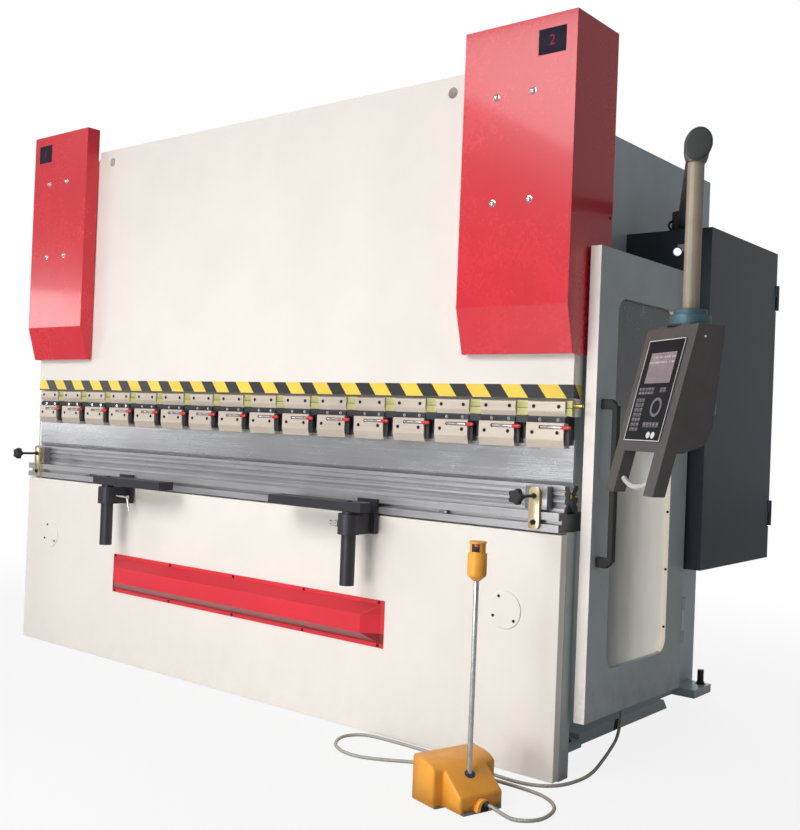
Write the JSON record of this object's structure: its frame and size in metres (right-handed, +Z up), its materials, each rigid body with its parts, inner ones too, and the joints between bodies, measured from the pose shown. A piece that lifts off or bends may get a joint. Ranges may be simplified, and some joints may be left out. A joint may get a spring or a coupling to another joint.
{
  "type": "cnc bending machine",
  "caption": "Hydraulic sheet bending machine with a grooved die, clamped punch, side guard doors, control pendant on a swivel arm and a foot pedal.",
  "frame": {"origin": "on the floor under the middle of the bending line, at the bed plate's underside", "axes": "+X along the bending line towards the side with the cabinet, +Y to the rear, +Z up"},
  "size_m": [3.9709, 2.1726, 2.6003],
  "materials": {
    "machine_grey": "satin grey paint",
    "warm_white": "satin warm white paint",
    "signal_red": "gloss red paint",
    "ground_steel": "ground",
    "bright_steel": "finely ground",
    "clamp_steel": "bronze tinted, ground",
    "black_oxide": "black oxide",
    "black_paint": "satin black paint",
    "yellow_zinc": "yellow zinc plate",
    "bright_chrome": "polished",
    "cabinet_dark": "gloss blue black paint",
    "pedal_yellow": "orange yellow, slightly glossy",
    "black_plastic": "matt black",
    "hose_grey": "ribbed grey hose",
    "clear_sheet": "clear",
    "pendant_grey": "fine textured dark grey",
    "champagne": "champagne anodised",
    "teal_paint": "satin teal",
    "screen_glass": "glossy control panel"
  },
  "bodies": {
    "machine": {"bed_plate": "machine_grey", "apron_plate": "warm_white", "apron_panel": "signal_red", "round_cover_left": "warm_white", "round_cover_right": "warm_white", "die_rail": "ground_steel", "grooved_die": "ground_steel", "end_clamp_left": "yellow_zinc", "end_clamp_right": "yellow_zinc", "side_frame_left": "machine_grey", "side_frame_right": "machine_grey", "cylinder_cover_left": "signal_red", "cylinder_cover_right": "signal_red", "cylinder_left": "black_paint", "cylinder_right": "black_paint", "ram_guide_left": "ground_steel", "ram_guide_right": "ground_steel", "oil_tank": "machine_grey", "pump_motor": "black_paint", "tie_plate": "machine_grey", "gauge_slide_left": "ground_steel", "gauge_slide_right": "ground_steel", "gauge_beam": "machine_grey", "gauge_finger_left": "ground_steel", "gauge_finger_right": "ground_steel", "cabinet_body": "cabinet_dark", "gear_plate": "machine_grey", "arm_flange": "black_paint", "pedal_base": "ground_steel", "pedal_hood": "pedal_yellow", "pedal_treadle": "black_plastic", "stop_post": "bright_chrome", "stop_head": "pedal_yellow", "pedal_hose": "hose_grey", "hose_gland": "bright_chrome"},
    "ram": {"ram_plate": "warm_white", "punch": "bright_steel", "tool_clamps": "clamp_steel", "piston_rod_left": "bright_chrome", "piston_rod_right": "bright_chrome"},
    "left_door": {"side_door_left": "machine_grey", "door_window_left": "clear_sheet", "door_handle_left": "black_plastic"},
    "right_door": {"side_door_right": "machine_grey", "door_window_right": "clear_sheet", "door_handle_right": "black_plastic"},
    "cabinet_leaf": {"cabinet_door": "cabinet_dark"},
    "arm": {"arm_boom": "pendant_grey", "arm_tube": "champagne"},
    "pendant": {"pendant_collar": "teal_paint", "pendant_housing": "pendant_grey", "pendant_screen": "screen_glass", "pendant_grip": "bright_chrome"},
    "left_support": {"support_bracket_left": "black_oxide"},
    "left_post": {"support_post_left": "black_oxide"},
    "left_bar": {"support_bar_left": "black_oxide"},
    "right_support": {"support_bracket_right": "black_oxide"},
    "right_post": {"support_post_right": "black_oxide"},
    "right_bar": {"support_bar_right": "black_oxide"}
  },
  "joints": [
    {"name": "ram_slide", "type": "slide", "parent": "machine", "child": "ram", "axis": [0, 0, 1], "range_m": [0, 0.1]},
    {"name": "left_door_hinge", "type": "hinge", "parent": "machine", "child": "left_door", "pos_m": [-1.661, 0.784, 1], "axis": [0, 0, -1], "range_deg": [0, 90]},
    {"name": "right_door_hinge", "type": "hinge", "parent": "machine", "child": "right_door", "pos_m": [1.661, 0.784, 1], "axis": [0, 0, 1], "range_deg": [0, 90]},
    {"name": "cabinet_hinge", "type": "hinge", "parent": "machine", "child": "cabinet_leaf", "pos_m": [1.7225, 1.5385, 1.3], "axis": [0, 0, 1], "range_deg": [0, 110]},
    {"name": "arm_swivel", "type": "hinge", "parent": "machine", "child": "arm", "pos_m": [1.56, 0.88, 2.05], "axis": [0, 0, 1], "range_deg": [-18, 60]},
    {"name": "pendant_swivel", "type": "hinge", "parent": "arm", "child": "pendant", "pos_m": [2.121, -0.282, 1.55], "axis": [0, 0, 1], "range_deg": [-60, 60]},
    {"name": "left_support_slide", "type": "slide", "parent": "machine", "child": "left_support", "axis": [1, 0, 0], "range_m": [-0.5, 0.3]},
    {"name": "left_post_lift", "type": "slide", "parent": "left_support", "child": "left_post", "axis": [0, 0, 1], "range_m": [0, 0.1]},
    {"name": "left_bar_swivel", "type": "hinge", "parent": "left_post", "child": "left_bar", "pos_m": [-0.753, -0.19, 0.86], "axis": [0, 0, -1], "range_deg": [0, 90]},
    {"name": "right_support_slide", "type": "slide", "parent": "machine", "child": "right_support", "axis": [-1, 0, 0], "range_m": [-0.5, 0.3]},
    {"name": "right_post_lift", "type": "slide", "parent": "right_support", "child": "right_post", "axis": [0, 0, 1], "range_m": [0, 0.1]},
    {"name": "right_bar_swivel", "type": "hinge", "parent": "right_post", "child": "right_bar", "pos_m": [0.753, -0.19, 0.86], "axis": [0, 0, 1], "range_deg": [0, 90]}
  ]
}
